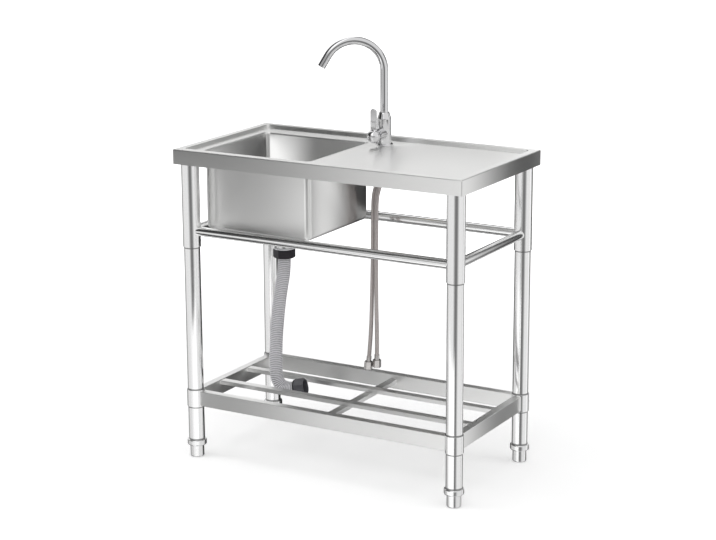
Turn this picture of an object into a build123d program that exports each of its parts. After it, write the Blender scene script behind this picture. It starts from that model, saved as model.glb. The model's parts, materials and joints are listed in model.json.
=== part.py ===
from build123d import *
import math
import os

# Kitchen sink unit: stainless top with one bowl on the left and a flat drainer on the right,
# on four tube legs with a shelf frame, with a single-lever mixer, two supply hoses and a drain hose.
# Millimetres. Origin on the floor at the centre of the footprint, +X right, +Y back, +Z up.

# ---------------------------------------------------------------- driving dimensions
WIDTH = 750
DEPTH = 400
HEIGHT = 750
SHEET = 1.2
APRON = 35
RIM_WIDTH = 20
RIM_DROP = 9
RIM_SLOPE = 2
HEM = 7
TOP_CORNER_R = 4
DECK_Z = HEIGHT - RIM_DROP
DECK_UNDER = DECK_Z - SHEET

BOWL_X = -186
BOWL_Y = -3
BOWL_WIDTH = 282
BOWL_LENGTH = 270
BOWL_DEPTH = 185
BOWL_CORNER_R = 12
BOWL_BOTTOM_R = 9
LIP_R = 5
LIP_FLAT = 0.5
BOWL_FLOOR = DECK_Z - BOWL_DEPTH
BOWL_UNDER = BOWL_FLOOR - SHEET

LEG_INSET = 29
LEG_X = WIDTH / 2 - LEG_INSET
LEG_Y = DEPTH / 2 - LEG_INSET
LEG_R = 19
LEG_WALL = 1.2
LEG_TOP = 600
SLEEVE_R = 21
SLEEVE_BORE_R = 19.15
SLEEVE_BOTTOM = 517
PLATE_T = 3
PLATE_OUT = 22
PLATE_ARM = 43
PLATE_SIDE_WIDTH = 12
PLATE_FRONT_WIDTH = 14
STUD_R = 3
STUD_LENGTH = 13
STUD_NEAR = 5
STUD_FAR = 33
STUD_WELD = 0.5
STUD_HOLE_R = 3.3
STUD_NUT_H = 5
STUD_NUT_CORNER_R = 5.7
RAIL_R = 11
RAIL_WALL = 1.2
RAIL_Z = 555
WELD_GAP = 0.05

COLLAR_BOTTOM = 126
COLLAR_TOP = 168
BEAM_WIDTH = 20
BEAM_BOTTOM = 129
BEAM_TOP = 165
BEAM_WALL = 1.5
SLAT_WIDTH = 20
SLAT_HEIGHT = 10
SLAT_TOP = 164
SLAT_WALL = 1.2
SLAT_YS = (-70, 48)
CROSS_X = 9

FLANGE_R = 23
FLANGE_BOTTOM = 29
FLANGE_TOP = 43
PLUG_R = 17.6
PLUG_TOP = 75
FOOT_R = 16.5
FOOT_FLAT = 13.4
FOOT_FLAT_WIDTH = 12.5
FOOT_FLAT_TOP = 19
FOOT_STEM_R = 10
FOOT_STEM_TOP = 70
FOOT_BORE_R = 10.1
FOOT_EDGE_R = 2.5

SCREW_R = 3
SCREW_SLEEVE_Z = 530
SCREW_COLLAR_Z = 147
SCREW_INNER = 19.05
SCREW_OUTER = 22
HEX_KEY = 3

DRAIN_X = -184
DRAIN_Y = -24
DRAIN_FLANGE_R = 43
DRAIN_FLANGE_T = 1.5
DRAIN_CUP_R = 30
DRAIN_CUP_WALL = 1.2
DRAIN_CUP_BOTTOM = 525
DRAIN_HOLE_R = 31
SPIGOT_R = 20
SPIGOT_BORE_R = 17
SPIGOT_BOTTOM = 488
GASKET_T = 1.5
GASKET_R = 41.5
GASKET_LOW_T = 3
DRAIN_NUT_BORE_R = 30.1
LOCKNUT_R = 36
LOCKNUT_H = 13
LOCKNUT_LUG = 3
LOCKNUT_LUG_WIDTH = 5
BASKET_R = 28
BASKET_T = 1
BASKET_HOLE_R = 1.6
BASKET_HOLE_ROWS = ((11, 8), (17, 12), (22, 16))
BASKET_SLOTS = 12
SEAL_T = 4
KNOB_R = 8
KNOB_H = 6
KNOB_POST_R = 2.5
COUPLING_CORNER_R = 26.5
COUPLING_TOP = 499
COUPLING_BOTTOM = 478
COUPLING_LIP = 5
COUPLING_BORE_R = 20.1
TAIL_WASHER_R = 24
TAIL_WASHER_T = 3

HOSE_R = 16
HOSE_VALLEY_R = 14.2
HOSE_BORE_R = 13
HOSE_HOLE_R = 16.3
HOSE_CUFF_R = 18
HOSE_CUFF_T = 2.6
HOSE_CUFF_RISE = 0.4
HOSE_CUFF_SEAT_R = 18.3
HOSE_PITCH = 4.3
RIB_PROFILE = ((0.10, HOSE_VALLEY_R), (0.30, HOSE_R), (0.70, HOSE_R), (0.90, HOSE_VALLEY_R))
HOSE_TOP = 486
END_NUT_CORNER_R = 23
END_NUT_LENGTH = 24
END_NUT_BORE_R = 18.6
END_COLLAR_R = 20.5
END_COLLAR_T = 3

FAUCET_X = 4
FAUCET_Y = 126
BASE_RING_R = 20.5
BASE_RING_T = 3
FAUCET_FOOT_Z = DECK_Z + BASE_RING_T
BODY_R = 16.5
BODY_SHOULDER_Z = 803
BODY_TOP = 818
BODY_NECK_R = 11.5
SPOUT_R = 9.5
SPOUT_BORE_R = 8
SPOUT_AZIMUTH = 216
SPOUT_ARC_R = 71
SPOUT_ARC_Z = 916.5
SPOUT_ARC_ANGLE = 149
SPOUT_TIP = 30
SPIGOT_END_Z = 790
SPOUT_FIT_R = 9.58
ORING_ZS = (795, 801)
ORING_SEAT_R = 7.9
ORING_R = 0.8
CLIP_Z = 812
CLIP_T = 1.6
CLIP_GROOVE_R = 10.4
CLIP_SEAT_R = 8.7
SHANK_R = 15
SHANK_BORE_R = 12.2
SHANK_BOTTOM = 697
SHANK_TOP = FAUCET_FOOT_Z + 8
WATERWAY_R = 5
MIXER_NUT_CORNER_R = 23
MIXER_NUT_H = 9
MIXER_GASKET_R = 22
MIXER_GASKET_T = 3
MIXER_WASHER_T = 2
DECK_HOLE_R = 16
VALVE_Z = 768
VALVE_REACH = 51
BRANCH_R = 14
BRANCH_END = 35
CHAMBER_R = 11
CARTRIDGE_R = 10.9
CARTRIDGE_START = 7
SPINDLE_START = 15
BONNET_START = 31
SPINDLE_R = 4
SPINDLE_BORE_R = 4.06
NECK_R = 5.5
BALL_R = 12.3
DOME_R = 16
DOME_BORE_R = 12.7
DOME_BACK = 6.5
LEVER_WIDTH = 16
LEVER_T = 4.5
LEVER_TOP = 833
PIN_R = 1.5
PIN_BORE_R = 1.56
AERATOR_R = 7.9
AERATOR_T = 9
AERATOR_HOLE_R = 0.8
AERATOR_ROWS = ((0, 1), (2.6, 6), (5.2, 12))

TUBE_R = 4.95
TAIL_PITCH = 5.85
FERRULE_R = 5.6
TAIL_STEM_R = 3.9
TAIL_FERRULE_TOP = SHANK_BOTTOM + 25
TAIL_TOP = DECK_Z + 14
SUPPLY_NUT_CORNER_R = 10.4
SUPPLY_NUT_H = 19
SUPPLY_NUT_BORE_R = 7.5
SUPPLY_NUT_BACK = 4
SUPPLY_FERRULE_R = 6
SUPPLY_FERRULE_H = 13

# Routes of the hoses' centre lines, first point at the upper fitting.
DRAIN_ROUTE = [
    (-184, -24, 486),
    (-184, -24, 446),
    (-193, -26, 400),
    (-199.5, -28, 350),
    (-204.5, -30, 298),
    (-207, -31, 252),
    (-207.5, -32, 208),
    (-205, -33, 171),
    (-182, -27, 150),
    (-150, -19, 157),
]
HOT_ROUTE = [
    (-1.85, 126, 697),
    (-1.85, 126, 668),
    (-20.5, 116.3, 630),
    (-20, 113, 556),
    (-19.5, 110, 446),
    (-20.5, 107, 346),
    (-22, 105.5, 280),
    (-26.5, 104, 222),
]
COLD_ROUTE = [
    (9.85, 126, 697),
    (9.85, 126, 668),
    (-7.6, 110.5, 630),
    (-7.3, 107, 556),
    (-7, 105, 446),
    (-6.6, 104.5, 346),
    (-6, 107, 280),
    (-7.1, 108, 228),
]

CORNERS = {"fl": (-1, -1), "fr": (1, -1), "bl": (-1, 1), "br": (1, 1)}


# ---------------------------------------------------------------- helpers
def box(x0, x1, y0, y1, z0, z1):
    """A block between two corners."""
    centre = Pos((x0 + x1) / 2, (y0 + y1) / 2, (z0 + z1) / 2)
    return centre * Box(x1 - x0, y1 - y0, z1 - z0)


def rod(x, y, z0, z1, r):
    """An upright round bar."""
    return Pos(x, y, (z0 + z1) / 2) * Cylinder(r, z1 - z0)


def ring(x, y, z0, z1, r_out, r_in):
    """An upright tube or washer."""
    return rod(x, y, z0, z1, r_out) - rod(x, y, z0, z1, r_in)


def hexagon(x, y, z0, z1, corner_r, turn=0):
    """An upright hexagonal bar, measured to its corners."""
    outline = Pos(x, y, z0) * Rot(0, 0, turn) * RegularPolygon(corner_r, 6)
    return extrude(outline, z1 - z0)


def slab(width, length, corner_r, z):
    """A flat rounded rectangle at height z, centred on the unit."""
    return Pos(0, 0, z) * RectangleRounded(width, length, corner_r)


def along(axis, length, r, start=0):
    """A round bar on a plane's normal, from start to start + length."""
    return axis * Pos(0, 0, start + length / 2) * Cylinder(r, length)


def leg_spot(corner):
    """The axis of a leg."""
    side, back = CORNERS[corner]
    return side * LEG_X, back * LEG_Y


def corner_radii(points):
    """The largest arc that the two runs at each corner allow."""
    radii = []
    for before, here, after in zip(points, points[1:], points[2:]):
        run_in = Vector(*here) - Vector(*before)
        run_out = Vector(*after) - Vector(*here)
        half_turn = math.radians(run_in.get_angle(run_out)) / 2
        radii.append(0.45 * min(run_in.length, run_out.length) / math.tan(half_turn))
    return radii


def centre_line(points):
    """Straight runs joined by tangent arcs."""
    return FilletPolyline(*points, radius=corner_radii(points))


def plane_on(line, distance):
    """A plane square to the line, with a steady X axis."""
    spot = line.position_at(distance, position_mode=PositionMode.LENGTH)
    heading = line.tangent_at(distance, position_mode=PositionMode.LENGTH)
    steady = Vector(0, 1, 0).cross(heading)
    return Plane(origin=spot, x_dir=steady, z_dir=heading)


# ---------------------------------------------------------------- top and bowl
def sink_top():
    """Folded sheet: apron all round with a hem, raised rim, sunk deck, two cut-outs, weld studs."""
    blank = extrude(slab(WIDTH, DEPTH, TOP_CORNER_R, HEIGHT - APRON), APRON)
    blank = fillet(blank.faces().sort_by(Axis.Z)[-1].edges(), 3)

    def recess(grow, floor):
        wide = WIDTH - 2 * RIM_WIDTH + 2 * grow
        long = DEPTH - 2 * RIM_WIDTH + 2 * grow
        mouth = slab(wide, long, 8 + grow, HEIGHT)
        seat = slab(wide - 2 * RIM_SLOPE, long - 2 * RIM_SLOPE, 6 + grow, floor)
        return loft([seat, mouth])

    inside = extrude(slab(WIDTH - 2 * SHEET, DEPTH - 2 * SHEET, TOP_CORNER_R - SHEET,
                          HEIGHT - APRON + SHEET), APRON - 2 * SHEET)
    inside -= recess(SHEET, DECK_UNDER)
    mouth = extrude(slab(WIDTH - 2 * HEM, DEPTH - 2 * HEM, 3, HEIGHT - APRON), SHEET)
    top = blank - recess(0, DECK_Z) - inside - mouth
    lip = LIP_R + LIP_FLAT
    cut_out = RectangleRounded(BOWL_WIDTH + 2 * lip, BOWL_LENGTH + 2 * lip, BOWL_CORNER_R + lip)
    top -= extrude(Pos(BOWL_X, BOWL_Y, DECK_UNDER - 1) * cut_out, RIM_DROP)
    top -= rod(FAUCET_X, FAUCET_Y, DECK_UNDER - 1, DECK_Z + 1, DECK_HOLE_R)
    for x, y in stud_spots():
        top += rod(x, y, DECK_UNDER - STUD_LENGTH, DECK_UNDER + STUD_WELD, STUD_R)
    return top


def inward(corner, across, back):
    """A spot given by its distances from a leg's axis towards the middle of the unit."""
    x, y = leg_spot(corner)
    side, rear = CORNERS[corner]
    return x - side * across, y - rear * back


def stud_spots():
    """Two studs beside each leg socket, on the deck strips beside the bowl."""
    spots = []
    for corner in CORNERS:
        spots.append(inward(corner, STUD_NEAR, STUD_FAR))
        spots.append(inward(corner, STUD_FAR, STUD_NEAR))
    return spots


def outline_edges(shell, z, grow):
    """The bowl's outline at height z, grown outwards."""
    half_width = BOWL_WIDTH / 2 + grow
    half_length = BOWL_LENGTH / 2 + grow

    def on_outline(edge):
        middle = edge.center()
        if abs(middle.Z - z) > 0.01:
            return False
        if edge.geom_type == GeomType.CIRCLE:
            return abs(edge.radius - BOWL_CORNER_R - grow) < 0.01
        return (abs(abs(middle.X - BOWL_X) - half_width) < 0.01
                or abs(abs(middle.Y - BOWL_Y) - half_length) < 0.01)

    return shell.edges().filter_by(on_outline)


def basin():
    """Pressed bowl with a rolled lip that is welded flush into the deck, and the waste hole."""
    spot = Pos(BOWL_X, BOWL_Y, 0)
    shell = extrude(spot * Pos(0, 0, BOWL_UNDER) * RectangleRounded(
        BOWL_WIDTH + 2 * SHEET, BOWL_LENGTH + 2 * SHEET, BOWL_CORNER_R + SHEET), BOWL_DEPTH + SHEET)
    shell = fillet(shell.faces().sort_by(Axis.Z)[0].edges(), BOWL_BOTTOM_R + SHEET)
    lip = LIP_R + LIP_FLAT
    shell += extrude(spot * Pos(0, 0, DECK_UNDER) * RectangleRounded(
        BOWL_WIDTH + 2 * lip, BOWL_LENGTH + 2 * lip, BOWL_CORNER_R + lip), SHEET)
    under_lip = outline_edges(shell, DECK_UNDER, SHEET)
    shell = fillet(under_lip, LIP_R - SHEET)
    hollow = extrude(spot * Pos(0, 0, BOWL_FLOOR) * RectangleRounded(
        BOWL_WIDTH, BOWL_LENGTH, BOWL_CORNER_R), BOWL_DEPTH)
    hollow = fillet(hollow.faces().sort_by(Axis.Z)[0].edges(), BOWL_BOTTOM_R)
    shell -= hollow
    rim = outline_edges(shell, DECK_Z, 0)
    shell = fillet(rim, LIP_R)
    return shell - rod(DRAIN_X, DRAIN_Y, BOWL_UNDER - 1, BOWL_FLOOR + 1, DRAIN_HOLE_R)


# ---------------------------------------------------------------- frame
def plate_arm(corner, across, back):
    """One arm of a socket's plate, from outside the leg's axis to the two inward distances."""
    x0, y0 = inward(corner, -PLATE_OUT, -PLATE_OUT)
    x1, y1 = inward(corner, across, back)
    return box(min(x0, x1), max(x0, x1), min(y0, y1), max(y0, y1), DECK_UNDER - PLATE_T, DECK_UNDER)


def leg_socket(corner):
    """Sleeve that a leg slides into, welded under an L-shaped plate that bolts to the deck."""
    x, y = leg_spot(corner)
    top = DECK_UNDER - PLATE_T
    socket = plate_arm(corner, PLATE_SIDE_WIDTH, PLATE_ARM)
    socket += plate_arm(corner, PLATE_ARM, PLATE_FRONT_WIDTH)
    socket += ring(x, y, SLEEVE_BOTTOM, top, SLEEVE_R, SLEEVE_BORE_R)
    for sx, sy in stud_spots():
        socket -= rod(sx, sy, top, DECK_UNDER, STUD_HOLE_R)
    return socket - screw_hole(corner, SCREW_SLEEVE_Z)


def screw_axis(corner, z):
    """Where a grub screw goes in: diagonally, on the rear half of the tube."""
    x, y = leg_spot(corner)
    side, back = CORNERS[corner]
    return Plane(origin=(x, y, z), z_dir=(side * back, 1, 0))


def screw_hole(corner, z):
    """The threaded hole of a grub screw through one wall."""
    return along(screw_axis(corner, z), SLEEVE_R, SCREW_R + 0.1)


def grub_screws():
    """One in each leg socket and one in each shelf collar."""
    screws = []
    for corner in CORNERS:
        for z in (SCREW_SLEEVE_Z, SCREW_COLLAR_Z):
            axis = screw_axis(corner, z)
            screw = along(axis, SCREW_OUTER - SCREW_INNER, SCREW_R, SCREW_INNER)
            key = extrude(axis * Pos(0, 0, SCREW_OUTER - 2) * RegularPolygon(HEX_KEY / 2, 6, False), 2)
            screws.append(screw - key)
    return Compound(children=screws)


def socket_nuts():
    """Hexagon nuts on the weld studs."""
    top = DECK_UNDER - PLATE_T
    low = top - STUD_NUT_H
    return Compound(children=[
        hexagon(x, y, low, top, STUD_NUT_CORNER_R) - rod(x, y, low, top, STUD_R + 0.1)
        for x, y in stud_spots()])


def rail_between(start, end, r, wall):
    """Round tube between two leg sockets, cut to their curve."""
    line = Plane(origin=start, z_dir=Vector(*end) - Vector(*start))
    length = (Vector(*end) - Vector(*start)).length
    rail = along(line, length, r) - along(line, length, r - wall)
    for x, y, z in (start, end):
        rail -= rod(x, y, z - 2 * r, z + 2 * r, SLEEVE_R + WELD_GAP)
    return rail


def upper_long_rail(back):
    """Front or back rail between the leg sockets."""
    y = back * LEG_Y
    return rail_between((-LEG_X, y, RAIL_Z), (LEG_X, y, RAIL_Z), RAIL_R, RAIL_WALL)


def upper_side_rails():
    """Left and right rails between the leg sockets."""
    rails = []
    for side in (-1, 1):
        x = side * LEG_X
        rails.append(rail_between((x, -LEG_Y, RAIL_Z), (x, LEG_Y, RAIL_Z), RAIL_R, RAIL_WALL))
    return Compound(children=rails)


def leg(corner):
    """Round tube from the foot insert up into its socket."""
    x, y = leg_spot(corner)
    return ring(x, y, FLANGE_TOP, LEG_TOP, LEG_R, LEG_R - LEG_WALL)


def shelf_collars():
    """Clamping collars that carry the shelf frame on the legs."""
    collars = []
    for corner in CORNERS:
        x, y = leg_spot(corner)
        collar = ring(x, y, COLLAR_BOTTOM, COLLAR_TOP, SLEEVE_R, SLEEVE_BORE_R)
        collar = fillet(collar.edges().filter_by(GeomType.CIRCLE).filter_by(
            lambda e: e.radius > SLEEVE_R - 0.1), 0.8)
        collars.append(collar - screw_hole(corner, SCREW_COLLAR_Z))
    return Compound(children=collars)


def box_tube(x0, x1, y0, y1, z0, z1, wall, run):
    """Rectangular tube, open at both ends along X or Y."""
    outer = box(x0, x1, y0, y1, z0, z1)
    lengthwise = outer.edges().filter_by(Axis.X if run == "x" else Axis.Y)
    outer = fillet(lengthwise, wall)
    if run == "x":
        return outer - box(x0, x1, y0 + wall, y1 - wall, z0 + wall, z1 - wall)
    return outer - box(x0 + wall, x1 - wall, y0, y1, z0 + wall, z1 - wall)


def trim_to_collars(beam):
    """Ends cut round to meet the collars."""
    for corner in CORNERS:
        x, y = leg_spot(corner)
        beam -= rod(x, y, COLLAR_BOTTOM, COLLAR_TOP, SLEEVE_R + WELD_GAP)
    return beam


def shelf_long_beam(back):
    """Front or back beam of the shelf frame."""
    y = back * LEG_Y
    half = BEAM_WIDTH / 2
    beam = box_tube(-LEG_X, LEG_X, y - half, y + half, BEAM_BOTTOM, BEAM_TOP, BEAM_WALL, "x")
    return trim_to_collars(beam)


def shelf_side_beams():
    """Left and right beams of the shelf frame."""
    half = BEAM_WIDTH / 2
    beams = []
    for side in (-1, 1):
        x = side * LEG_X
        beam = box_tube(x - half, x + half, -LEG_Y, LEG_Y, BEAM_BOTTOM, BEAM_TOP, BEAM_WALL, "y")
        beams.append(trim_to_collars(beam))
    return Compound(children=beams)


def shelf_slats():
    """Two flat tubes from side beam to side beam, resting on the cross bar."""
    reach = LEG_X - BEAM_WIDTH / 2
    half = SLAT_WIDTH / 2
    return Compound(children=[
        box_tube(-reach, reach, y - half, y + half, SLAT_TOP - SLAT_HEIGHT, SLAT_TOP, SLAT_WALL, "x")
        for y in SLAT_YS])


def shelf_cross_bar():
    """Flat tube from the front beam to the back beam, under the slats."""
    reach = LEG_Y - BEAM_WIDTH / 2
    x0 = CROSS_X - SLAT_WIDTH / 2
    top = SLAT_TOP - SLAT_HEIGHT
    return box_tube(x0, x0 + SLAT_WIDTH, -reach, reach, top - SLAT_HEIGHT, top, SLAT_WALL, "y")


# ---------------------------------------------------------------- feet
def foot_inserts():
    """Flanged plugs pressed into the lower ends of the legs, bored for the feet."""
    inserts = []
    for corner in CORNERS:
        x, y = leg_spot(corner)
        flange = rod(x, y, FLANGE_BOTTOM, FLANGE_TOP, FLANGE_R)
        flange = fillet(flange.edges().filter_by(GeomType.CIRCLE), 3)
        plug = flange + rod(x, y, FLANGE_TOP, PLUG_TOP, PLUG_R)
        inserts.append(plug - rod(x, y, FLANGE_BOTTOM, PLUG_TOP, FOOT_BORE_R))
    return Compound(children=inserts)


def foot(corner):
    """Screw foot: stem in the insert, round head with six arched spanner flats."""
    x, y = leg_spot(corner)
    head = rod(x, y, 0, FLANGE_BOTTOM, FOOT_R)
    head = fillet(head.faces().sort_by(Axis.Z)[0].edges(), FOOT_EDGE_R)
    head = chamfer(head.faces().sort_by(Axis.Z)[-1].edges(), 1)
    half = FOOT_FLAT_WIDTH / 2
    arch_z = FOOT_FLAT_TOP - half
    arch = Pos(0, arch_z / 2, 0) * Rectangle(2 * half, arch_z) + Pos(0, arch_z, 0) * Circle(half)
    side_face = Plane(origin=(FOOT_FLAT, 0, 0), x_dir=(0, 1, 0), z_dir=(1, 0, 0))
    for step in range(6):
        head -= extrude(Pos(x, y, 0) * Rot(0, 0, 60 * step + 30) * side_face * arch, FOOT_R)
    return head + rod(x, y, FLANGE_BOTTOM - 1, FOOT_STEM_TOP, FOOT_STEM_R)


# ---------------------------------------------------------------- waste
def drain_body():
    """Waste fitting: flange in the bowl, cup for the strainer, threaded spigot."""
    top = BOWL_FLOOR + GASKET_T
    body = rod(DRAIN_X, DRAIN_Y, top, top + DRAIN_FLANGE_T, DRAIN_FLANGE_R)
    body = fillet(body.edges().sort_by(Axis.Z)[-1], 1)
    body += rod(DRAIN_X, DRAIN_Y, DRAIN_CUP_BOTTOM, top, DRAIN_CUP_R)
    body += rod(DRAIN_X, DRAIN_Y, SPIGOT_BOTTOM, DRAIN_CUP_BOTTOM, SPIGOT_R)
    body -= rod(DRAIN_X, DRAIN_Y, DRAIN_CUP_BOTTOM + DRAIN_CUP_WALL, top + DRAIN_FLANGE_T,
                DRAIN_CUP_R - DRAIN_CUP_WALL)
    return body - rod(DRAIN_X, DRAIN_Y, SPIGOT_BOTTOM, DRAIN_CUP_BOTTOM + DRAIN_CUP_WALL, SPIGOT_BORE_R)


def drain_gasket_top():
    """Rubber ring between the waste's flange and the bowl."""
    return ring(DRAIN_X, DRAIN_Y, BOWL_FLOOR, BOWL_FLOOR + GASKET_T, GASKET_R, DRAIN_NUT_BORE_R)


def drain_gasket_bottom():
    """Rubber ring between the bowl and the locknut."""
    return ring(DRAIN_X, DRAIN_Y, BOWL_UNDER - GASKET_LOW_T, BOWL_UNDER, GASKET_R, DRAIN_NUT_BORE_R)


def drain_locknut():
    """Ring nut under the bowl with eight grip lugs."""
    top = BOWL_UNDER - GASKET_LOW_T
    nut = ring(DRAIN_X, DRAIN_Y, top - LOCKNUT_H, top, LOCKNUT_R, DRAIN_NUT_BORE_R)
    for step in range(8):
        lug = Pos(DRAIN_X, DRAIN_Y, top - LOCKNUT_H / 2) * Rot(0, 0, 45 * step)
        nut += lug * Pos(LOCKNUT_R, 0, 0) * Box(2 * LOCKNUT_LUG, LOCKNUT_LUG_WIDTH, LOCKNUT_H)
    return nut


def strainer_basket():
    """Perforated cup that lifts out of the waste."""
    z0 = DRAIN_CUP_BOTTOM + DRAIN_CUP_WALL + SEAL_T
    z1 = BOWL_FLOOR + GASKET_T
    cup = rod(DRAIN_X, DRAIN_Y, z0, z1, BASKET_R)
    cup = fillet(cup.edges().sort_by(Axis.Z)[0], 3 + BASKET_T)
    hollow = rod(DRAIN_X, DRAIN_Y, z0 + BASKET_T, z1, BASKET_R - BASKET_T)
    cup -= fillet(hollow.edges().sort_by(Axis.Z)[0], 3)
    for row, count in BASKET_HOLE_ROWS:
        for step in range(count):
            turn = Pos(DRAIN_X, DRAIN_Y, z0) * Rot(0, 0, 360 * step / count)
            cup -= turn * Pos(row, 0, 0) * Cylinder(BASKET_HOLE_R, 6)
    for step in range(BASKET_SLOTS):
        turn = Pos(DRAIN_X, DRAIN_Y, z0 + 15) * Rot(0, 0, 360 * step / BASKET_SLOTS)
        cup -= turn * Pos(BASKET_R, 0, 0) * Box(6, 3, 12)
    return cup


def strainer_seal():
    """Rubber plug under the basket, standing on the cup's floor."""
    z0 = DRAIN_CUP_BOTTOM + DRAIN_CUP_WALL
    z1 = z0 + SEAL_T
    seal = ring(DRAIN_X, DRAIN_Y, z0, z1, SPIGOT_R, SPIGOT_R - 2)
    seal += rod(DRAIN_X, DRAIN_Y, z0, z1, KNOB_R)
    return seal + box(DRAIN_X - 19, DRAIN_X + 19, DRAIN_Y - 3, DRAIN_Y + 3, z1 - 2, z1)


def strainer_knob():
    """Post and knob that lift the basket."""
    z0 = DRAIN_CUP_BOTTOM + DRAIN_CUP_WALL + SEAL_T + BASKET_T
    z1 = BOWL_FLOOR + 2
    post = rod(DRAIN_X, DRAIN_Y, z0, z1, KNOB_POST_R)
    knob = rod(DRAIN_X, DRAIN_Y, z1, z1 + KNOB_H, KNOB_R)
    knob = fillet(knob.edges().filter_by(GeomType.CIRCLE), 2)
    return post + knob + rod(DRAIN_X, DRAIN_Y, z0, z0 + 1, KNOB_R - 2)


def tail_washer():
    """Light plastic washer that lies on the coupling nut."""
    top = COUPLING_TOP + TAIL_WASHER_T
    return ring(DRAIN_X, DRAIN_Y, COUPLING_TOP, top, TAIL_WASHER_R, COUPLING_BORE_R)


def coupling_nut():
    """Hexagon nut that holds the hose's cuff up against the spigot."""
    nut = hexagon(DRAIN_X, DRAIN_Y, COUPLING_BOTTOM, COUPLING_TOP, COUPLING_CORNER_R, 30)
    round_bar = rod(DRAIN_X, DRAIN_Y, COUPLING_BOTTOM, COUPLING_TOP, COUPLING_CORNER_R)
    nut &= chamfer(round_bar.edges().filter_by(GeomType.CIRCLE), 2)
    lip_top = COUPLING_BOTTOM + COUPLING_LIP
    nut -= rod(DRAIN_X, DRAIN_Y, lip_top, COUPLING_TOP, COUPLING_BORE_R)
    return nut - rod(DRAIN_X, DRAIN_Y, COUPLING_BOTTOM, lip_top, HOSE_HOLE_R)


def hose_seal():
    """Rubber ring between the spigot and the hose's cuff."""
    return ring(DRAIN_X, DRAIN_Y, HOSE_TOP, SPIGOT_BOTTOM, SPIGOT_R - 0.2, HOSE_BORE_R)


def ribbed_stations(length):
    """Distance and radius of each circle: a cuff at both ends, ribs of four circles between."""
    plain = HOSE_CUFF_T + 1
    count = int((length - 2 * plain) / HOSE_PITCH)
    pitch = (length - 2 * plain) / count
    cuff_end = HOSE_CUFF_T + HOSE_CUFF_RISE
    stations = [(0, HOSE_CUFF_R), (HOSE_CUFF_T, HOSE_CUFF_R), (cuff_end, HOSE_VALLEY_R)]
    for rib in range(count):
        start = plain + rib * pitch
        for share, r in RIB_PROFILE:
            stations.append((start + share * pitch, r))
    stations.append((length - cuff_end, HOSE_VALLEY_R))
    stations.append((length - HOSE_CUFF_T, HOSE_CUFF_R))
    stations.append((length, HOSE_CUFF_R))
    return stations


def drain_hose():
    """Ribbed hose with its bore: one ruled loft of circles along the route, another cut from it."""
    line = centre_line(DRAIN_ROUTE)
    stations = ribbed_stations(line.length)
    planes = [plane_on(line, distance) for distance, _ in stations]
    outer = [Wire.make_circle(r, plane) for plane, (_, r) in zip(planes, stations)]
    inner = [Wire.make_circle(HOSE_BORE_R, plane) for plane in planes]
    return Solid.make_loft(outer, ruled=True) - Solid.make_loft(inner, ruled=True)


def end_axis():
    """Plane square to the hose's lower end, at its last point."""
    line = centre_line(DRAIN_ROUTE)
    return plane_on(line, line.length)


def hose_end_nut():
    """Hexagon nut turning on the hose's lower cuff, open to the waste pipe."""
    axis = end_axis()
    cuff = -HOSE_CUFF_T - HOSE_CUFF_RISE
    back = cuff - COUPLING_LIP
    outline = extrude(axis * Pos(0, 0, back) * RegularPolygon(END_NUT_CORNER_R, 6), END_NUT_LENGTH)
    round_bar = along(axis, END_NUT_LENGTH, END_NUT_CORNER_R, back)
    nut = outline & chamfer(round_bar.edges().filter_by(GeomType.CIRCLE), 2)
    nut -= along(axis, END_NUT_LENGTH, END_NUT_BORE_R)
    nut -= along(axis, -cuff, HOSE_CUFF_SEAT_R, cuff)
    return nut - along(axis, END_NUT_LENGTH, HOSE_HOLE_R, back)


def hose_end_collar():
    """Black ring behind the end nut."""
    axis = end_axis()
    start = -HOSE_CUFF_T - HOSE_CUFF_RISE - COUPLING_LIP - END_COLLAR_T
    collar = along(axis, END_COLLAR_T, END_COLLAR_R, start)
    return collar - along(axis, END_COLLAR_T, HOSE_HOLE_R, start)


# ---------------------------------------------------------------- mixer
def valve_axis(distance=0):
    """The side valve's axis, pointing to the front, measured from the body's axis."""
    return Plane(origin=(FAUCET_X, FAUCET_Y - distance, VALVE_Z), x_dir=(1, 0, 0), z_dir=(0, -1, 0))


def faucet_base_ring():
    """Flat ring with a bevelled edge between the deck and the body."""
    base = ring(FAUCET_X, FAUCET_Y, DECK_Z, FAUCET_FOOT_Z, BASE_RING_R, SHANK_R + 0.1)
    outer = base.edges().filter_by(GeomType.CIRCLE).filter_by(lambda e: e.radius > BASE_RING_R - 0.1)
    return chamfer(outer.sort_by(Axis.Z)[-1], 1.5)


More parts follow.
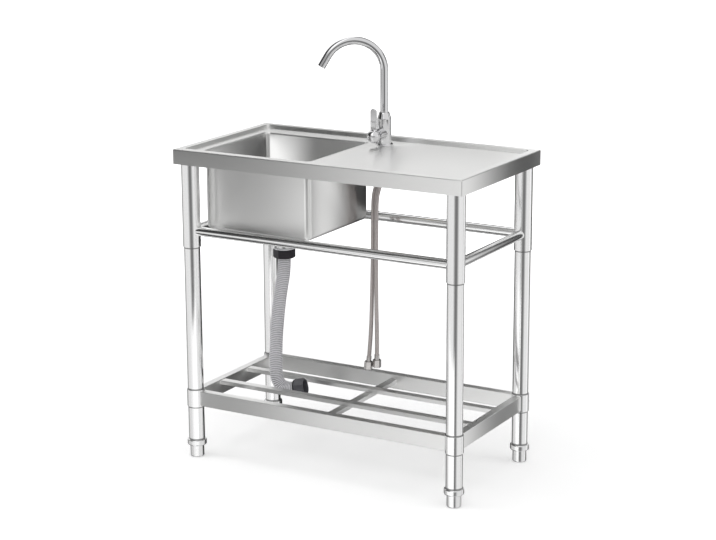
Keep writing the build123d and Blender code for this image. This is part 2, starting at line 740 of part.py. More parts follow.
def faucet_body():
    """Round body with shoulders, side branch, spout socket, valve chamber and two inlets."""
    outline = [(0, FAUCET_FOOT_Z), (BODY_R, FAUCET_FOOT_Z), (BODY_R, BODY_SHOULDER_Z),
               (BODY_NECK_R + 1, BODY_TOP - 2), (BODY_NECK_R, BODY_TOP), (0, BODY_TOP)]
    body = revolve(Plane.XZ * make_face(Polyline(*outline, close=True)), Axis.Z)
    body = fillet(body.edges().filter_by(GeomType.CIRCLE).filter_by(
        lambda e: abs(e.center().Z - BODY_SHOULDER_Z) < 0.01), 5)
    body = Pos(FAUCET_X, FAUCET_Y, 0) * body
    body += along(valve_axis(), BRANCH_END, BRANCH_R)
    body -= along(valve_axis(), BRANCH_END, CHAMBER_R, 2)
    body -= rod(FAUCET_X, FAUCET_Y, SPIGOT_END_Z, BODY_TOP, SPOUT_FIT_R)
    body -= ring(FAUCET_X, FAUCET_Y, CLIP_Z, CLIP_Z + CLIP_T, CLIP_GROOVE_R, SPOUT_FIT_R - 1)
    body -= rod(FAUCET_X, FAUCET_Y, VALVE_Z, SPIGOT_END_Z, WATERWAY_R)
    body -= rod(FAUCET_X, FAUCET_Y, FAUCET_FOOT_Z, SHANK_TOP, SHANK_R + 0.05)
    for side in (-1, 1):
        x = FAUCET_X + side * TAIL_PITCH
        body -= rod(x, FAUCET_Y, FAUCET_FOOT_Z, VALVE_Z - 4, TAIL_STEM_R + 0.1)
    return body


def spout_line():
    """The spout's centre line: up from the body, over in one arc, down to the outlet."""
    turn = math.radians(SPOUT_AZIMUTH)
    plane = Plane(origin=(FAUCET_X, FAUCET_Y, 0), x_dir=(math.cos(turn), math.sin(turn), 0),
                  z_dir=(math.sin(turn), -math.cos(turn), 0))
    rise = Line((0, BODY_TOP), (0, SPOUT_ARC_Z))
    over = CenterArc((SPOUT_ARC_R, SPOUT_ARC_Z), SPOUT_ARC_R, 180, -SPOUT_ARC_ANGLE)
    tip = Line(over @ 1, (over @ 1) + (over % 1) * SPOUT_TIP)
    return plane * Wire([rise, over, tip])


def spout():
    """Bent tube with a thick-walled spigot that turns in the body."""
    line = spout_line()
    start = Plane(origin=(FAUCET_X, FAUCET_Y, BODY_TOP), z_dir=(0, 0, 1))
    tube = sweep(start * Circle(SPOUT_R), path=line)
    tube += rod(FAUCET_X, FAUCET_Y, SPIGOT_END_Z + 0.3, BODY_TOP, SPOUT_R)
    tube -= sweep(start * Circle(SPOUT_BORE_R), path=line)
    tube -= rod(FAUCET_X, FAUCET_Y, SPIGOT_END_Z, BODY_TOP, WATERWAY_R + 1)
    for z in ORING_ZS:
        tube -= ring(FAUCET_X, FAUCET_Y, z - 1, z + 1, SPOUT_R + 1, ORING_SEAT_R)
    return tube - ring(FAUCET_X, FAUCET_Y, CLIP_Z, CLIP_Z + CLIP_T, SPOUT_R + 1, CLIP_SEAT_R)


def spout_orings():
    """Two rubber rings in the spigot's grooves."""
    rings = []
    for z in ORING_ZS:
        rings.append(Pos(FAUCET_X, FAUCET_Y, z) * Torus(ORING_SEAT_R + ORING_R, ORING_R))
    return Compound(children=rings)


def spout_clip():
    """Split ring in the body's groove that keeps the spout from lifting out."""
    clip = ring(FAUCET_X, FAUCET_Y, CLIP_Z + 0.1, CLIP_Z + CLIP_T - 0.1, CLIP_GROOVE_R, CLIP_SEAT_R + 0.1)
    return clip - box(FAUCET_X, FAUCET_X + 20, FAUCET_Y - 2, FAUCET_Y + 2, CLIP_Z, CLIP_Z + CLIP_T)


def aerator():
    """Perforated insert in the spout's mouth."""
    line = spout_line()
    axis = plane_on(line, line.length)
    insert = along(axis, AERATOR_T, AERATOR_R, -AERATOR_T - 1)
    hole = Cylinder(AERATOR_HOLE_R, AERATOR_T + 4)
    for row, count in AERATOR_ROWS:
        for step in range(count):
            insert -= axis * Rot(0, 0, 360 * step / count) * Pos(row, 0, -AERATOR_T / 2) * hole
    return insert


def faucet_shank():
    """Threaded tube that passes through the deck, with the hose tails inside."""
    return ring(FAUCET_X, FAUCET_Y, SHANK_BOTTOM, SHANK_TOP, SHANK_R, SHANK_BORE_R)


def faucet_gasket():
    """Rubber ring under the deck."""
    top = DECK_UNDER
    return ring(FAUCET_X, FAUCET_Y, top - MIXER_GASKET_T, top, MIXER_GASKET_R, DECK_HOLE_R)


def faucet_washer():
    """Steel washer under the rubber ring."""
    top = DECK_UNDER - MIXER_GASKET_T
    return ring(FAUCET_X, FAUCET_Y, top - MIXER_WASHER_T, top, MIXER_GASKET_R, SHANK_R + 0.1)


def faucet_nut():
    """Hexagon nut on the shank that clamps the mixer to the deck."""
    top = DECK_UNDER - MIXER_GASKET_T - MIXER_WASHER_T
    nut = hexagon(FAUCET_X, FAUCET_Y, top - MIXER_NUT_H, top, MIXER_NUT_CORNER_R)
    return nut - rod(FAUCET_X, FAUCET_Y, top - MIXER_NUT_H, top, SHANK_R + 0.1)


def cartridge():
    """Mixing cartridge in the valve chamber, bored for the spindle."""
    body = along(valve_axis(), BONNET_START - CARTRIDGE_START, CARTRIDGE_R, CARTRIDGE_START)
    return body - along(valve_axis(), BONNET_START - SPINDLE_START, SPINDLE_BORE_R, SPINDLE_START)


def bonnet_nut():
    """Ring that closes the side branch over the cartridge."""
    height = BRANCH_END - BONNET_START
    nut = along(valve_axis(), height, CARTRIDGE_R, BONNET_START)
    return nut - along(valve_axis(), height, NECK_R + 0.5, BONNET_START)


def spindle():
    """Turning piece: shaft in the cartridge, neck, and the ball that carries the tilt pin."""
    neck_start = BONNET_START + 0.2
    shaft_start = SPINDLE_START + 0.5
    ball = valve_axis(VALVE_REACH) * Sphere(BALL_R)
    ball += along(valve_axis(), VALVE_REACH - neck_start, NECK_R, neck_start)
    ball += along(valve_axis(), neck_start - shaft_start, SPINDLE_R, shaft_start)
    pin = Plane(origin=(FAUCET_X, FAUCET_Y - VALVE_REACH, VALVE_Z), z_dir=(1, 0, 0))
    return ball - pin * Cylinder(PIN_BORE_R, 4 * BALL_R)


def handle():
    """Hollow dome over the ball, with the flat lever standing on it."""
    centre = valve_axis(VALVE_REACH)
    dome = centre * Sphere(DOME_R)
    y = FAUCET_Y - VALVE_REACH
    half = LEVER_WIDTH / 2
    thin = LEVER_T / 2
    blade = box(FAUCET_X - half, FAUCET_X + half, y - thin, y + thin, VALVE_Z, LEVER_TOP)
    blade = fillet(blade.edges().filter_by(Axis.Y).sort_by(Axis.Z)[-2:], half - 0.5)
    blade = fillet(blade.edges().filter_by(Axis.Z), 1.2)
    dome += blade
    dome -= centre * Sphere(DOME_BORE_R)
    reach = DOME_R + 5
    dome -= box(FAUCET_X - reach, FAUCET_X + reach, y + DOME_BACK, y + reach,
                VALVE_Z - reach, VALVE_Z + reach)
    pin = Plane(origin=(FAUCET_X, y, VALVE_Z), z_dir=(1, 0, 0))
    return dome - pin * Cylinder(PIN_R, 2 * (DOME_R - 1))


def handle_pin():
    """Cross pin that the handle tilts on."""
    pin = Plane(origin=(FAUCET_X, FAUCET_Y - VALVE_REACH, VALVE_Z), z_dir=(1, 0, 0))
    return pin * Cylinder(PIN_R, 2 * (DOME_R - 1))


# ---------------------------------------------------------------- supply hoses
def supply_tails():
    """Hose tails: crimped ferrule and threaded stem, side by side in the shank."""
    tails = []
    for side in (-1, 1):
        x = FAUCET_X + side * TAIL_PITCH
        tail = rod(x, FAUCET_Y, SHANK_BOTTOM, TAIL_FERRULE_TOP, FERRULE_R)
        tails.append(tail + rod(x, FAUCET_Y, TAIL_FERRULE_TOP, TAIL_TOP, TAIL_STEM_R))
    return Compound(children=tails)


def supply_hose(points):
    """Braided hose as a plain tube along its route."""
    line = centre_line(points)
    start = Plane(origin=points[0], z_dir=line.tangent_at(0))
    hose = sweep(start * Circle(TUBE_R), path=line)
    section = math.pi * TUBE_R ** 2
    print("  hose volume / (section x length)", round(hose.volume / (section * line.length), 4))
    return hose


def supply_end(points):
    """Plane square to a supply hose's lower end."""
    line = centre_line(points)
    return plane_on(line, line.length)


def supply_ferrules():
    """Crimped sleeves at the lower ends of the supply hoses."""
    ferrules = []
    for points in (HOT_ROUTE, COLD_ROUTE):
        sleeve = along(supply_end(points), SUPPLY_FERRULE_H, SUPPLY_FERRULE_R)
        ferrules.append(fillet(sleeve.edges().filter_by(GeomType.CIRCLE), 0.6))
    return Compound(children=ferrules)


def supply_nut(points):
    """Union nut hanging on the ferrule, open below."""
    axis = supply_end(points)
    start = SUPPLY_FERRULE_H
    outline = axis * Pos(0, 0, start) * Rot(0, 0, 30) * RegularPolygon(SUPPLY_NUT_CORNER_R, 6)
    nut = extrude(outline, SUPPLY_NUT_H)
    round_bar = along(axis, SUPPLY_NUT_H, SUPPLY_NUT_CORNER_R, start)
    nut &= chamfer(round_bar.edges().filter_by(GeomType.CIRCLE), 1.2)
    return nut - along(axis, SUPPLY_NUT_H, SUPPLY_NUT_BORE_R, start + SUPPLY_NUT_BACK)


# ---------------------------------------------------------------- output
def pieces():
    """Every node's name and its shape."""
    made = {
        "sink_top": sink_top(),
        "basin": basin(),
        "socket_nuts": socket_nuts(),
        "grub_screws": grub_screws(),
        "upper_rail_front": upper_long_rail(-1),
        "upper_rail_back": upper_long_rail(1),
        "upper_side_rails": upper_side_rails(),
        "shelf_collars": shelf_collars(),
        "shelf_beam_front": shelf_long_beam(-1),
        "shelf_beam_back": shelf_long_beam(1),
        "shelf_side_beams": shelf_side_beams(),
        "shelf_slats": shelf_slats(),
        "shelf_cross_bar": shelf_cross_bar(),
        "foot_inserts": foot_inserts(),
        "drain_body": drain_body(),
        "drain_gasket_top": drain_gasket_top(),
        "drain_gasket_bottom": drain_gasket_bottom(),
        "drain_locknut": drain_locknut(),
        "strainer_basket": strainer_basket(),
        "strainer_seal": strainer_seal(),
        "strainer_knob": strainer_knob(),
        "tail_washer": tail_washer(),
        "coupling_nut": coupling_nut(),
        "hose_seal": hose_seal(),
        "drain_hose": drain_hose(),
        "hose_end_collar": hose_end_collar(),
        "hose_end_nut": hose_end_nut(),
        "faucet_base_ring": faucet_base_ring(),
        "faucet_body": faucet_body(),
        "faucet_shank": faucet_shank(),
        "faucet_gasket": faucet_gasket(),
        "faucet_washer": faucet_washer(),
        "faucet_nut": faucet_nut(),
        "cartridge": cartridge(),
        "bonnet_nut": bonnet_nut(),
        "spindle": spindle(),
        "handle": handle(),
        "handle_pin": handle_pin(),
        "spout": spout(),
        "spout_orings": spout_orings(),
        "spout_clip": spout_clip(),
        "aerator": aerator(),
        "supply_tails": supply_tails(),
        "supply_hose_hot": supply_hose(HOT_ROUTE),
        "supply_hose_cold": supply_hose(COLD_ROUTE),
        "supply_ferrules": supply_ferrules(),
        "supply_nut_hot": supply_nut(HOT_ROUTE),
        "supply_nut_cold": supply_nut(COLD_ROUTE),
    }
    for corner in CORNERS:
        made[f"leg_socket_{corner}"] = leg_socket(corner)
        made[f"leg_{corner}"] = leg(corner)
        made[f"foot_{corner}"] = foot(corner)
    return made


os.makedirs("parts", exist_ok=True)
for label, points in (("drain", DRAIN_ROUTE), ("hot", HOT_ROUTE), ("cold", COLD_ROUTE)):
    radii = [round(r) for r in corner_radii(points)]
    print(label, "hose radii", radii, "length", round(centre_line(points).length))
for node, shape in pieces().items():
    export_step(shape, f"parts/{node}.step")
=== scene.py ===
import json
import math

import bpy
import numpy as np
from mathutils import Matrix, Vector


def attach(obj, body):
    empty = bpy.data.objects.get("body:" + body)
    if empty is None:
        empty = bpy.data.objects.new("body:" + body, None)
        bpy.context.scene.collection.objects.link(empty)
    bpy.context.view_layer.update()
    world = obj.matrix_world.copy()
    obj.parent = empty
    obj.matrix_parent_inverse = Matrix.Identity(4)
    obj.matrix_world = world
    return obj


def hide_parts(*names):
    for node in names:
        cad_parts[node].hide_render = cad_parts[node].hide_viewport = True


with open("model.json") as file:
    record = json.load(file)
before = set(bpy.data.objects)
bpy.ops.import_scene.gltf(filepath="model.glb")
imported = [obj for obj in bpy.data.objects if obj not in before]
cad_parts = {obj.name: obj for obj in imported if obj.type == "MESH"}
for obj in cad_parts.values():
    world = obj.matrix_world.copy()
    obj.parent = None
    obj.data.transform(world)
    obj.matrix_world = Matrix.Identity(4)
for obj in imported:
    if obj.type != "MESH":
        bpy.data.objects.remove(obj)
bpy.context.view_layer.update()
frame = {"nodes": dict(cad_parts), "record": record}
nodes = frame["nodes"]

MM = 0.001
FULL_TURN = 2 * np.pi

# ---------------------------------------------------------------- camera
CAMERA_PLACE = (2.202, -3.822, 1.591)
CAMERA_YAW = 29.91
CAMERA_PITCH = 14.34
CAMERA_ROLL = -0.27
FOCAL_PIXELS = 1949
PHOTO_WIDTH = 716
SENSOR_MM = 36
FARTHEST_SEEN = 100


def place_camera():
    """The camera looks along its pitch and yaw, and is turned a little about that line."""
    yaw, pitch, roll = (math.radians(a) for a in (CAMERA_YAW, CAMERA_PITCH, CAMERA_ROLL))
    ahead = Vector((-math.sin(yaw) * math.cos(pitch), math.cos(yaw) * math.cos(pitch),
                    -math.sin(pitch)))
    side = Vector((math.cos(yaw), math.sin(yaw), 0))
    above = side.cross(ahead)
    right = math.cos(roll) * side + math.sin(roll) * above
    up = -math.sin(roll) * side + math.cos(roll) * above
    data = bpy.data.cameras.new("view")
    data.sensor_width = SENSOR_MM
    data.lens = FOCAL_PIXELS * SENSOR_MM / PHOTO_WIDTH
    data.clip_end = FARTHEST_SEEN
    camera = bpy.data.objects.new("view", data)
    bpy.context.scene.collection.objects.link(camera)
    turn = Matrix((right, up, -ahead)).transposed().to_4x4()
    camera.matrix_world = Matrix.Translation(CAMERA_PLACE) @ turn
    bpy.context.scene.camera = camera


place_camera()
bpy.context.scene.view_settings.view_transform = "Standard"


# ---------------------------------------------------------------- node helpers
class Shader:
    """A material or world node tree with short calls for the nodes used here."""

    def __init__(self, tree):
        self.tree = tree
        tree.nodes.clear()

    def add(self, kind, inputs=None, **settings):
        node = self.tree.nodes.new(kind)
        for key, value in settings.items():
            setattr(node, key, value)
        for key, value in (inputs or {}).items():
            self.put(value, node.inputs[key])
        return node

    def put(self, value, socket):
        if isinstance(value, bpy.types.NodeSocket):
            self.tree.links.new(value, socket)
        else:
            socket.default_value = value

    def end_in(self, surface, kind="ShaderNodeOutputMaterial"):
        """The tree's output shows this surface or background."""
        out = self.add(kind)
        self.tree.links.new(surface.outputs[0], out.inputs["Surface"])

    def math(self, operation, *values, clamp=False):
        node = self.add("ShaderNodeMath", operation=operation, use_clamp=clamp)
        for socket, value in zip(node.inputs, values):
            self.put(value, socket)
        return node.outputs[0]

    def vector(self, operation, *values):
        node = self.add("ShaderNodeVectorMath", operation=operation)
        for socket, value in zip(node.inputs, values):
            self.put(value, socket)
        return node.outputs[0]

    def place(self):
        """Where the shaded point is on its piece, in metres."""
        return self.add("ShaderNodeTexCoord").outputs["Object"]

    def normal(self):
        return self.add("ShaderNodeNewGeometry").outputs["Normal"]

    def attribute(self, name):
        return self.add("ShaderNodeAttribute", attribute_name=name).outputs["Fac"]

    def parts(self, vector):
        """A vector's X, Y and Z."""
        return self.add("ShaderNodeSeparateXYZ", {"Vector": vector}).outputs

    def even_grey(self, shade):
        """The grey colour whose three channels are all this shade."""
        return self.add("ShaderNodeCombineXYZ", {"X": shade, "Y": shade, "Z": shade}).outputs[0]

    def vary(self, value, swing, middle, clamp=False):
        """The middle level, moved by a noise about one half; swing is its whole range."""
        off = self.math("SUBTRACT", value, 0.5)
        return self.math("MULTIPLY_ADD", off, swing, middle, clamp=clamp)

    def smooth(self, value, low, high, start=0.0, end=1.0):
        """A smooth step from start to end as value goes from low to high."""
        node = self.add("ShaderNodeMapRange", interpolation_type="SMOOTHSTEP")
        for socket, number in zip(node.inputs, (value, low, high, start, end)):
            self.put(number, socket)
        return node.outputs[0]

    def ramp(self, factor, stops):
        """A colour ramp of (position, colour) pairs."""
        node = self.add("ShaderNodeValToRGB", {"Fac": factor})
        ramp = node.color_ramp
        while len(ramp.elements) < len(stops):
            ramp.elements.new(0.5)
        for element, (position, colour) in zip(ramp.elements, stops):
            element.position = position
            element.color = (*colour, 1)
        return node.outputs[0]

    def noise(self, coordinates, scale, detail, rough):
        inputs = {"Vector": coordinates, "Scale": scale, "Detail": detail, "Roughness": rough}
        return self.add("ShaderNodeTexNoise", inputs).outputs["Fac"]

    def bump(self, height, strength, distance, under=None):
        inputs = {"Height": height, "Strength": strength, "Distance": distance}
        if under is not None:
            inputs["Normal"] = under
        return self.add("ShaderNodeBump", inputs).outputs["Normal"]


def new_material(name):
    material = bpy.data.materials.new(name)
    material.use_nodes = True
    return material, Shader(material.node_tree)


def finish_material(shader, **inputs):
    """The principled surface that every finish ends in."""
    named = {key.replace("_", " "): value for key, value in inputs.items()}
    shader.end_in(shader.add("ShaderNodeBsdfPrincipled", named))


# ---------------------------------------------------------------- finishes
# A noise is given by its scale, detail and roughness; the scale counts its features in a metre.
SHEET_HAIRS = (16, 6, 0.72)
SHEET_FINE_HAIRS = (70, 4, 0.7)
SHEET_CLOUDING = (5, 3, 0.55)
HAIR_SQUEEZE = 60
FINE_SHARE = 0.45
CLOUD_SWING = 0.05
HAIR_GLOSS_SWING = 0.16
HAIR_BUMP = (0.12, 0.0002)
STEEL_TINT = (1.0, 1.0, 0.99)
LEVEL_POWER = 4
NUDGE = (0.001, 0, 0)
WALL_FLATNESS = (0.3, 0.7)


def grain_place(shader, across):
    """Object coordinates squeezed so that noise runs in long hairs along each sheet's length.

    The coordinate across the hairs is multiplied by across: Z on upright sheets, Y on level
    ones."""
    place = shader.place()
    upright = shader.parts(shader.normal())["Z"]
    level = shader.math("POWER", shader.math("ABSOLUTE", upright), LEVEL_POWER)
    y_scale = shader.math("MULTIPLY_ADD", level, across, 1)
    scale = shader.add("ShaderNodeCombineXYZ", {"X": 1.0, "Y": y_scale, "Z": across}).outputs[0]
    return place, shader.vector("MULTIPLY", place, scale)


def bowed_normal(shader, place, middle, half, slope):
    """The normal of upright walls that bulge outwards a little, as pressed and folded sheet does.

    The bulge falls off with the square of the distance from the middle along x and along y, so
    that the wall leans by slope at half away from the middle; level faces stay flat."""
    upright = shader.parts(shader.normal())["Z"]
    stands = shader.smooth(shader.math("ABSOLUTE", upright), *WALL_FLATNESS, 1, 0)
    away = shader.parts(shader.vector("SUBTRACT", place, (*middle, 0)))
    fall_x, fall_y = (
        shader.math("MULTIPLY", shader.math("POWER", away[axis], 2), slope / (2 * reach))
        for axis, reach in zip("XY", half))
    fall = shader.math("ADD", fall_x, fall_y)
    return shader.bump(shader.math("MULTIPLY", fall, shader.math("MULTIPLY", stands, -1)), 1.0, 1.0)


def brushed_steel(name, tone, roughness, hair, middle, half, slope):
    """Sheet steel with hairline brushing along its length and faint clouding.

    The brushing smears what each sheet mirrors across the hairs, so gloss is stretched that way."""
    material, shader = new_material(name)
    place, stretched = grain_place(shader, HAIR_SQUEEZE)
    hairs = shader.noise(stretched, *SHEET_HAIRS)
    fine = shader.noise(stretched, *SHEET_FINE_HAIRS)
    cloud = shader.noise(place, *SHEET_CLOUDING)
    coarse = shader.math("MULTIPLY", hairs, 1 - FINE_SHARE)
    mixed = shader.math("MULTIPLY_ADD", fine, FINE_SHARE, coarse)
    shade = shader.vary(cloud, CLOUD_SWING, shader.vary(mixed, hair, 1))
    colour = shader.vector("MULTIPLY", shader.even_grey(shade), tuple(tone * t for t in STEEL_TINT))
    rough = shader.vary(mixed, HAIR_GLOSS_SWING, roughness, clamp=True)
    normal = shader.bump(mixed, *HAIR_BUMP, bowed_normal(shader, place, middle, half, slope))
    face = shader.normal()
    along = shader.vector("ADD", shader.vector("CROSS_PRODUCT", (0, 0, 1), face), NUDGE)
    across = shader.vector("NORMALIZE", shader.vector("CROSS_PRODUCT", face, along))
    finish_material(shader, Base_Color=colour, Metallic=1.0, Roughness=rough, Anisotropic=1.0,
                    Tangent=across, Normal=normal)
    return material


# Heights of the painted shade lines against a collar, sleeve or flange on the legs, and how far
# each spreads, in millimetres. Right against the edge the steel has this share of its unshaded
# tone; the shaded band is also rougher.
JOINT_SHADE_LINES = ((44.5, 3.2), (124.5, 2.2), (169.5, 2.6), (515, 2.4))
JOINT_SHADE_EDGE = 0.4
JOINT_SHADE_TONE = 0.30
JOINT_SHADE_ROUGHENS = 0.3
TUBE_LINES = (1, 4, 0.6)
TUBE_LINES_STRETCH = (30, 30, 900)
TUBE_LINES_SWING = 0.05
TUBE_MARKS = (22, 3, 0.5)
TUBE_MARKS_SWING = 0.08
TUBE_BUMP = (0.05, 0.0001)


def tube_steel(name, tone, roughness):
    """Bright drawn tube: fine polishing lines round it, handling marks, painted shade at the
    joints, with rougher steel there.
    """
    material, shader = new_material(name)
    place = shader.place()
    height = shader.parts(place)["Z"]
    lines = shader.noise(shader.vector("MULTIPLY", place, TUBE_LINES_STRETCH), *TUBE_LINES)
    marks = shader.noise(place, *TUBE_MARKS)
    unshaded_share = 1.0
    # Painted shade: the steel darkens in a thin band against each collar, sleeve and flange.
    for level, spread in JOINT_SHADE_LINES:
        off = shader.math("ABSOLUTE", shader.math("SUBTRACT", height, level * MM))
        edge = shader.smooth(off, JOINT_SHADE_EDGE * MM, spread * MM, JOINT_SHADE_TONE, 1.0)
        unshaded_share = shader.math("MULTIPLY", unshaded_share, edge)
    shade = shader.math("MULTIPLY", shader.vary(lines, TUBE_LINES_SWING, tone), unshaded_share)
    rough = shader.vary(marks, TUBE_MARKS_SWING, roughness)
    rough = shader.vary(lines, TUBE_LINES_SWING, rough)
    shade_band = shader.math("SUBTRACT", 1, unshaded_share)
    rough = shader.math("MULTIPLY_ADD", shade_band, JOINT_SHADE_ROUGHENS, rough, clamp=True)
    normal = shader.bump(lines, *TUBE_BUMP)
    finish_material(shader, Base_Color=shader.even_grey(shade), Metallic=1.0, Roughness=rough,
                    Normal=normal)
    return material


LEG_X = 346 * MM
LEG_Y = 171 * MM
# The lower edge of a foot's head, darkened with painted shade in speckled patches: inside this
# distance from the leg's axis, and below this height, each with a soft edge.
FOOT_SHADE_REACH = (15.2 * MM, 16.2 * MM)
FOOT_SHADE_HEIGHT = (18.5 * MM, 19.6 * MM)
FOOT_SPECKS = (260, 4, 0.65)
FOOT_SHADE_PATCHES = (0.25, 0.5, 0.75, 1.0)
FOOT_SHADE_DARK = 0.94
FOOT_SHADE_ROUGHENS = 0.35
FOOT_SPECK_ROUGHENS = 0.10
FOOT_LINES = (1, 3, 0.6)
FOOT_LINES_STRETCH = (40, 40, 1200)
FOOT_LINES_SWING = 0.12
FOOT_BUMP = (0.08, 0.0001)


def turned_foot(name, tone, roughness):
    """Turned steel foot and insert: turning lines round it, painted shade low on the head's edge.

    The painted shade, in speckled patches, lies where the head's rounded lower edge draws in
    towards the leg's axis."""
    material, shader = new_material(name)
    place = shader.place()
    parts = shader.parts(place)
    off_x = shader.math("SUBTRACT", shader.math("ABSOLUTE", parts["X"]), LEG_X)
    off_y = shader.math("SUBTRACT", shader.math("ABSOLUTE", parts["Y"]), LEG_Y)
    radius = shader.math("SQRT", shader.math("ADD", shader.math("POWER", off_x, 2),
                                             shader.math("POWER", off_y, 2)))
    # Painted shade: near-black speckled patches under the head's lower edge, which are also
    # rougher.
    low_edge = shader.math("MULTIPLY", shader.smooth(radius, *FOOT_SHADE_REACH, 1, 0),
                           shader.smooth(parts["Z"], *FOOT_SHADE_HEIGHT, 1, 0))
    speck = shader.noise(place, *FOOT_SPECKS)
    foot_shade = shader.math("MULTIPLY", low_edge, shader.smooth(speck, *FOOT_SHADE_PATCHES))
    lines = shader.noise(shader.vector("MULTIPLY", place, FOOT_LINES_STRETCH), *FOOT_LINES)
    shade = shader.math("MULTIPLY", shader.vary(lines, FOOT_LINES_SWING, tone),
                        shader.math("MULTIPLY_ADD", foot_shade, -FOOT_SHADE_DARK, 1))
    rough = shader.math("MULTIPLY_ADD", speck, FOOT_SPECK_ROUGHENS, roughness)
    rough = shader.math("MULTIPLY_ADD", foot_shade, FOOT_SHADE_ROUGHENS, rough, clamp=True)
    normal = shader.bump(lines, *FOOT_BUMP)
    finish_material(shader, Base_Color=shader.even_grey(shade), Metallic=1.0, Roughness=rough,
                    Normal=normal)
    return material


WIPING_MARKS = (120, 5, 0.65)
WIPING_SWING = 0.04
WIPING_BUMP = (0.02, 0.0001)


def plated(name, colour, roughness, mark=WIPING_SWING):
    """Polished or plated metal with faint wiping marks."""
    material, shader = new_material(name)
    marks = shader.noise(shader.place(), *WIPING_MARKS)
    rough = shader.vary(marks, mark, roughness, clamp=True)
    normal = shader.bump(marks, *WIPING_BUMP)
    finish_material(shader, Base_Color=(*colour, 1), Metallic=1.0, Roughness=rough, Normal=normal)
    return material


MOULD_SPECKS = (900, 3, 0.6)
MOULD_GLOSS_SWING = 0.2
MOULD_CLOUDING = (60, 2, 0.5)
MOULD_CLOUD_ENDS = (0.3, 0.7)
MOULD_SHADE_SWING = 0.15
MOULD_BUMP = (0.15, 0.0001)
PLASTIC_IOR = 1.47


def moulded(name, colour, roughness):
    """Moulded plastic or rubber: fine grain in its gloss, faint clouding in its colour."""
    material, shader = new_material(name)
    place = shader.place()
    speck = shader.noise(place, *MOULD_SPECKS)
    cloud = shader.noise(place, *MOULD_CLOUDING)
    low = tuple(c * (1 - MOULD_SHADE_SWING) for c in colour)
    high = tuple(min(1, c * (1 + MOULD_SHADE_SWING)) for c in colour)
    tone = shader.ramp(cloud, tuple(zip(MOULD_CLOUD_ENDS, (low, high))))
    rough = shader.vary(speck, MOULD_GLOSS_SWING, roughness, clamp=True)
    normal = shader.bump(speck, *MOULD_BUMP)
    finish_material(shader, Base_Color=tone, Roughness=rough, IOR=PLASTIC_IOR, Normal=normal)
    return material


# The hose's colour from the valleys (0) to the ridges (1), with painted shade darkening the
# valleys.
HOSE_RIB_SHADE_TONES = ((0.0, (0.34, 0.335, 0.355)), (0.45, (0.66, 0.655, 0.68)), (1.0, (0.80, 0.795, 0.82)))
HOSE_CLOUDING = (35, 3, 0.5)
HOSE_CLOUD_SWING = 0.16
HOSE_ROUGHNESS = 0.35
HOSE_CLOUD_ROUGHENS = 0.2
HOSE_IOR = 1.48


def hose_plastic():
    """Grey-lilac corrugated plastic, with painted shade in the valleys between the ribs."""
    material, shader = new_material("ribbed_hose")
    cloud = shader.noise(shader.place(), *HOSE_CLOUDING)
    # Painted shade: the colour darkens towards the valleys of the ribs.
    tone = shader.ramp(shader.attribute("relief"), HOSE_RIB_SHADE_TONES)
    shade = shader.vary(cloud, HOSE_CLOUD_SWING, 1)
    colour = shader.vector("MULTIPLY", tone, shader.even_grey(shade))
    rough = shader.math("MULTIPLY_ADD", cloud, HOSE_CLOUD_ROUGHENS, HOSE_ROUGHNESS)
    finish_material(shader, Base_Color=colour, Roughness=rough, IOR=HOSE_IOR)
    return material


# The braid's colour from the gaps (0) to the top of a strand (1), with painted shade in the gaps,
# and the wires in one strand, with painted shade between them.
BRAID_GAP_SHADE_TONES = ((0.0, (0.10, 0.085, 0.082)), (0.35, (0.42, 0.375, 0.365)),
               (1.0, (0.74, 0.69, 0.675)))
WIRES_A_STRAND = 4
WIRE_SWING = 0.3
WIRE_GAP_SHADE = 0.75
WIRE_BUMP = (0.35, 0.0003)
BRAID_METALLIC = 0.9
BRAID_ROUGHNESS = 0.36


def wire_braid():
    """Steel wire braid: bright on the crossing strands, painted shade in the gaps and between the
    single wires in each.
    """
    material, shader = new_material("wire_braid")
    phase = shader.math("MULTIPLY", shader.attribute("wires"), math.pi * WIRES_A_STRAND)
    ripple = shader.math("ABSOLUTE", shader.math("SINE", phase))
    tone = shader.ramp(shader.attribute("relief"), BRAID_GAP_SHADE_TONES)
    # Painted shade between the single wires of a strand.
    shade = shader.math("MULTIPLY_ADD", ripple, WIRE_SWING, WIRE_GAP_SHADE)
    colour = shader.vector("MULTIPLY", tone, shader.even_grey(shade))
    normal = shader.bump(ripple, *WIRE_BUMP)
    finish_material(shader, Base_Color=colour, Metallic=BRAID_METALLIC, Roughness=BRAID_ROUGHNESS,
                    Normal=normal)
    return material


